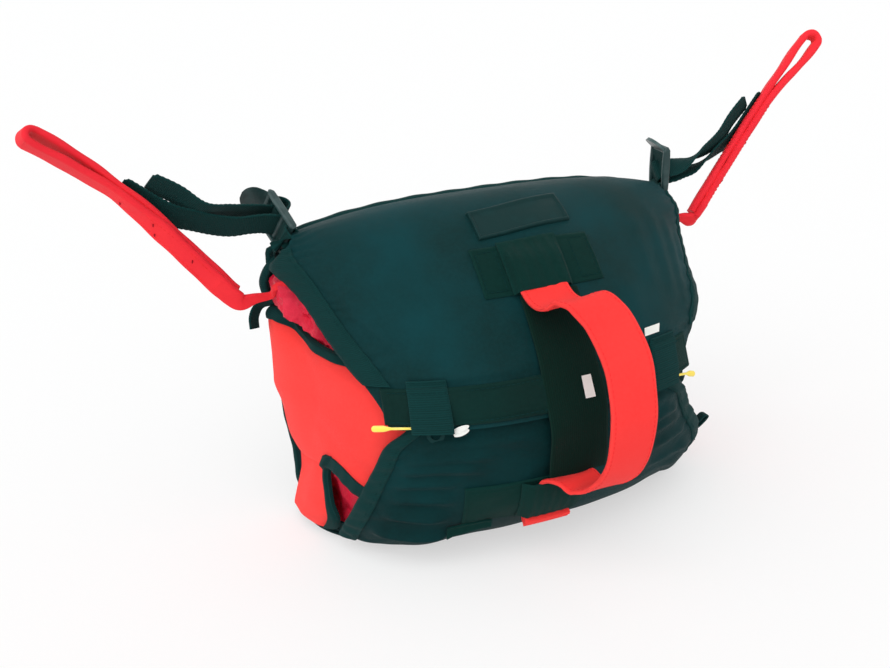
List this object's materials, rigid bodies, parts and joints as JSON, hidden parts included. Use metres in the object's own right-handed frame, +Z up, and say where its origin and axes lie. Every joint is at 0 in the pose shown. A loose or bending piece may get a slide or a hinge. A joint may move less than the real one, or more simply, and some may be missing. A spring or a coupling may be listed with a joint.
{
  "type": "front-mounted reserve parachute container",
  "caption": "Soft front-mounted parachute container with overlapping flaps, a tucked pull handle on flexible closing pins, and riser arms held by adjustable straps.",
  "frame": {"origin": "on the flat underside of the base panel, at the middle of the front face of the back panel", "axes": "+X to the wearer's left as the front is looked at (viewer's right), +Y away from the front through the back panel, +Z up"},
  "size_m": [0.6771, 0.2375, 0.3573],
  "materials": {
    "black_cloth": "plain-weave nylon",
    "black_webbing": "ribbed nylon webbing and binding tape",
    "red_cloth": "plain-weave nylon",
    "canopy_cloth": "packed ripstop nylon",
    "red_webbing": "flat nylon webbing",
    "crimson_cloth": "shiny coated nylon",
    "white_cloth": "woven tape",
    "grey_label": "blank woven label with a raised border",
    "dark_plastic": "moulded nylon",
    "yellow_plastic": "flexible plastic pin",
    "eyelet_metal": "pressed eyelet",
    "foam_back": "padded cloth panel"
  },
  "bodies": {
    "container": {"back_panel": "foam_back", "back_binding": "black_webbing", "base_panel": "black_cloth", "inner_pod": "crimson_cloth", "packed_canopy": "canopy_cloth", "line_pocket": "white_cloth", "pod_lanyard": "red_webbing", "left_keeper_loop": "black_webbing", "right_keeper_loop": "black_webbing"},
    "upper": {"upper_flap": "black_cloth", "left_flap_binding": "black_webbing", "right_flap_binding": "black_webbing", "label_patch": "grey_label", "upper_tuck_patch": "black_webbing", "upper_tuck_pocket": "black_webbing", "pin_cover_band": "black_webbing", "right_flap_tag": "white_cloth", "left_closing_loop": "white_cloth", "right_closing_loop": "white_cloth", "left_pin_guard": "black_webbing", "right_pin_guard": "black_webbing"},
    "lower": {"lower_flap": "black_cloth", "left_lower_binding": "black_webbing", "right_lower_binding": "black_webbing", "lower_tuck_patch": "black_webbing", "lower_tuck_pocket": "black_webbing", "left_lower_eyelet": "eyelet_metal", "right_lower_eyelet": "eyelet_metal"},
    "left_side": {"left_side_flap": "red_cloth", "left_side_top_binding": "black_webbing", "left_side_low_binding": "black_webbing", "left_side_eyelet": "eyelet_metal"},
    "right_side": {"right_side_flap": "red_cloth", "right_side_top_binding": "black_webbing", "right_side_low_binding": "black_webbing", "right_side_eyelet": "eyelet_metal"},
    "pull_handle": {"handle_grip": "red_webbing", "handle_band": "black_webbing", "handle_tag": "white_cloth"},
    "left_pin_slider": {"left_pin": "yellow_plastic"},
    "right_pin_slider": {"right_pin": "yellow_plastic"},
    "left_lock": {"left_buckle": "dark_plastic"},
    "right_lock": {"right_buckle": "dark_plastic"},
    "left_arm": {"left_strap": "black_webbing", "left_riser": "red_webbing", "left_riser_tail": "red_webbing"},
    "right_arm": {"right_strap": "black_webbing", "right_riser": "red_webbing", "right_riser_tail": "red_webbing"}
  },
  "joints": [
    {"name": "upper_flap_open", "type": "hinge", "parent": "container", "child": "upper", "pos_m": [0, 0.00105, 0.25281], "axis": [-1, 0, 0], "range_deg": [0, 110]},
    {"name": "lower_flap_open", "type": "hinge", "parent": "container", "child": "lower", "pos_m": [0, -0.103, 0.004], "axis": [1, 0, 0], "range_deg": [0, 28]},
    {"name": "left_side_open", "type": "hinge", "parent": "container", "child": "left_side", "pos_m": [-0.173, 0, 0.108], "axis": [0, 0, -1], "range_deg": [0, 50]},
    {"name": "right_side_open", "type": "hinge", "parent": "container", "child": "right_side", "pos_m": [0.173, 0, 0.108], "axis": [0, 0, 1], "range_deg": [0, 50]},
    {"name": "handle_pull", "type": "slide", "parent": "upper", "child": "pull_handle", "axis": [0, -1, 0], "range_m": [0, 0.06], "deforming": ["upper_tuck_pocket", "lower_tuck_pocket"]},
    {"name": "left_pin_slide", "type": "slide", "parent": "upper", "child": "left_pin_slider", "axis": [0.89, -0.456, 0.0008], "range_m": [0, 0.046]},
    {"name": "right_pin_slide", "type": "slide", "parent": "upper", "child": "right_pin_slider", "axis": [-0.89, -0.456, 0.0008], "range_m": [0, 0.046]},
    {"name": "left_buckle_pivot", "type": "hinge", "parent": "container", "child": "left_lock", "pos_m": [-0.161, -0.003, 0.24148], "axis": [0, -1, 0], "range_deg": [-6, 12], "deforming": ["left_riser_tail"]},
    {"name": "right_buckle_pivot", "type": "hinge", "parent": "container", "child": "right_lock", "pos_m": [0.167, -0.003, 0.23982], "axis": [0, 1, 0], "range_deg": [-6, 12], "deforming": ["right_riser_tail"]},
    {"name": "left_arm_pivot", "type": "hinge", "parent": "left_lock", "child": "left_arm", "pos_m": [-0.16612, -0.003, 0.25299], "axis": [0, -1, 0], "range_deg": [-12, 10], "deforming": ["left_riser_tail"]},
    {"name": "right_arm_pivot", "type": "hinge", "parent": "right_lock", "child": "right_arm", "pos_m": [0.16766, -0.003, 0.2524], "axis": [0, 1, 0], "range_deg": [-12, 10], "deforming": ["right_riser_tail"]}
  ],
  "couplings": [
    {"joint": "lower_flap_open", "follows": "upper_flap_open", "ratio": 0.25},
    {"joint": "left_side_open", "follows": "upper_flap_open", "ratio": 0.45},
    {"joint": "right_side_open", "follows": "upper_flap_open", "ratio": 0.45},
    {"joint": "left_pin_slide", "follows": "handle_pull", "ratio": 0.75},
    {"joint": "right_pin_slide", "follows": "handle_pull", "ratio": 0.75}
  ]
}
